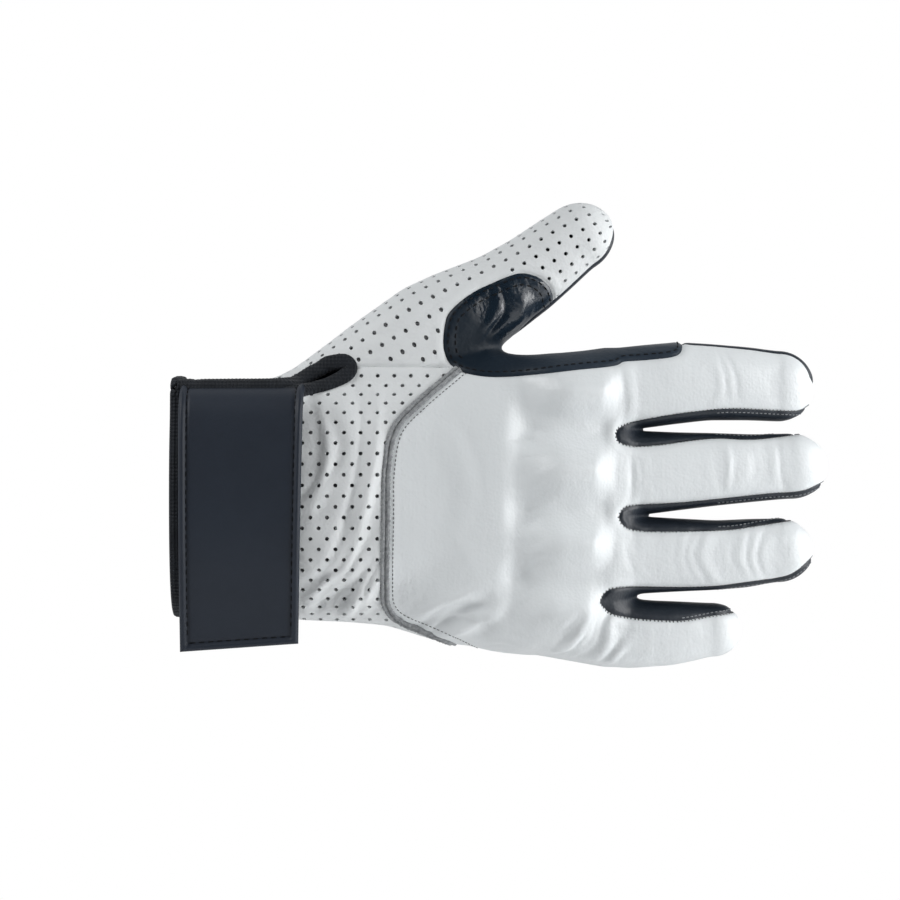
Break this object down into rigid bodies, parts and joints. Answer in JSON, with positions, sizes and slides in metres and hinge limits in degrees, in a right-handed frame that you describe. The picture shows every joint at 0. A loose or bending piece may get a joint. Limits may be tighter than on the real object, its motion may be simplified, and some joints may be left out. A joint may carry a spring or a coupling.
{
  "type": "motorcycle glove",
  "caption": "Short leather riding glove for the right hand with a padded knuckle protector, perforated thumb and cuff, and a touch-fastened wrist strap.",
  "frame": {"origin": "centre of the wrist opening, in the plane of the hem", "axes": "+X along the hand to the fingertips, +Z to the thumb side, -Y out of the back of the hand"},
  "size_m": [0.2212, 0.0575, 0.1579],
  "materials": {
    "white_leather": "smooth off-white leather with a low sheen",
    "perforated_leather": "off-white leather with punched vent holes",
    "black_leather": "black grained leather",
    "suede_piping": "grey raw suede edge",
    "binding_tape": "ribbed elastic tape",
    "strap_rubber": "matte rubberised fabric",
    "touch_fastener": "hook and loop tape",
    "lining_fabric": "brushed knit lining",
    "foam": "closed-cell foam",
    "hard_shell": "moulded plastic",
    "elastic": "shirred elastic"
  },
  "bodies": {
    "hand": {"back_panel": "white_leather", "back_piping": "suede_piping", "cuff_back_panel": "perforated_leather", "cuff_binding": "binding_tape", "cuff_palm_panel": "black_leather", "fourchette_index_middle": "black_leather", "fourchette_middle_ring": "black_leather", "fourchette_ring_little": "black_leather", "hand_lining": "lining_fabric", "index_side_panel": "black_leather", "knuckle_pad": "foam", "knuckle_shell": "hard_shell", "loop_patch": "touch_fastener", "palm_heel_pad": "black_leather", "palm_panel": "black_leather", "slit_binding": "binding_tape", "thumb_palm": "black_leather", "thumb_panel": "perforated_leather", "thumb_saddle": "black_leather", "wrist_elastic": "elastic"},
    "strap": {"strap_face": "strap_rubber", "strap_backing": "lining_fabric", "strap_hook_tape": "touch_fastener"},
    "thumb_tip": {"thumb_tip_back": "perforated_leather", "thumb_tip_palm": "black_leather"},
    "index_proximal": {"index_proximal_back": "white_leather", "index_proximal_palm": "black_leather", "index_proximal_fourchette_lower": "black_leather"},
    "index_distal": {"index_distal_back": "white_leather", "index_distal_palm": "black_leather", "index_distal_fourchette_lower": "black_leather"},
    "middle_proximal": {"middle_proximal_back": "white_leather", "middle_proximal_palm": "black_leather", "middle_proximal_fourchette_upper": "black_leather", "middle_proximal_fourchette_lower": "black_leather"},
    "middle_distal": {"middle_distal_back": "white_leather", "middle_distal_palm": "black_leather", "middle_distal_fourchette_upper": "black_leather", "middle_distal_fourchette_lower": "black_leather"},
    "ring_proximal": {"ring_proximal_back": "white_leather", "ring_proximal_palm": "black_leather", "ring_proximal_fourchette_upper": "black_leather", "ring_proximal_fourchette_lower": "black_leather"},
    "ring_distal": {"ring_distal_back": "white_leather", "ring_distal_palm": "black_leather", "ring_distal_fourchette_upper": "black_leather", "ring_distal_fourchette_lower": "black_leather"},
    "little_proximal": {"little_proximal_back": "white_leather", "little_proximal_palm": "black_leather", "little_proximal_fourchette_upper": "black_leather"},
    "little_distal": {"little_distal_back": "white_leather", "little_distal_palm": "black_leather", "little_distal_fourchette_upper": "black_leather"}
  },
  "joints": [
    {"name": "index_root_bend", "type": "hinge", "parent": "hand", "child": "index_proximal", "pos_m": [0.17254, 0.00656, 0.0391], "axis": [0.0434, 0.0078, 0.999], "range_deg": [0, 60]},
    {"name": "index_middle_bend", "type": "hinge", "parent": "index_proximal", "child": "index_distal", "pos_m": [0.19516, 0.01062, 0.03809], "axis": [0.0434, 0.0078, 0.999], "range_deg": [0, 70]},
    {"name": "middle_root_bend", "type": "hinge", "parent": "hand", "child": "middle_proximal", "pos_m": [0.17258, 0.00657, 0.009], "axis": [-0.03, -0.0049, 0.9995], "range_deg": [0, 60]},
    {"name": "middle_middle_bend", "type": "hinge", "parent": "middle_proximal", "child": "middle_distal", "pos_m": [0.19526, 0.01029, 0.0097], "axis": [-0.03, -0.0049, 0.9995], "range_deg": [0, 70]},
    {"name": "ring_root_bend", "type": "hinge", "parent": "hand", "child": "ring_proximal", "pos_m": [0.17256, 0.00646, -0.0199], "axis": [-0.0459, -0.0083, 0.9989], "range_deg": [0, 60]},
    {"name": "ring_middle_bend", "type": "hinge", "parent": "ring_proximal", "child": "ring_distal", "pos_m": [0.19517, 0.01054, -0.01883], "axis": [-0.0459, -0.0083, 0.9989], "range_deg": [0, 70]},
    {"name": "little_root_bend", "type": "hinge", "parent": "hand", "child": "little_proximal", "pos_m": [0.16304, 0.00625, -0.0471], "axis": [-0.0454, -0.0092, 0.9989], "range_deg": [0, 60]},
    {"name": "little_middle_bend", "type": "hinge", "parent": "little_proximal", "child": "little_distal", "pos_m": [0.17773, 0.00923, -0.04641], "axis": [-0.0454, -0.0092, 0.9989], "range_deg": [0, 70]},
    {"name": "thumb_bend", "type": "hinge", "parent": "hand", "child": "thumb_tip", "pos_m": [0.12907, 0.01234, 0.0807], "axis": [-0.5109, -0.0497, 0.8582], "range_deg": [0, 45]},
    {"name": "strap_peel", "type": "hinge", "parent": "hand", "child": "strap", "pos_m": [0.0235, -0.0015, 0.039], "axis": [-1, 0, 0], "range_deg": [0, 90]}
  ]
}
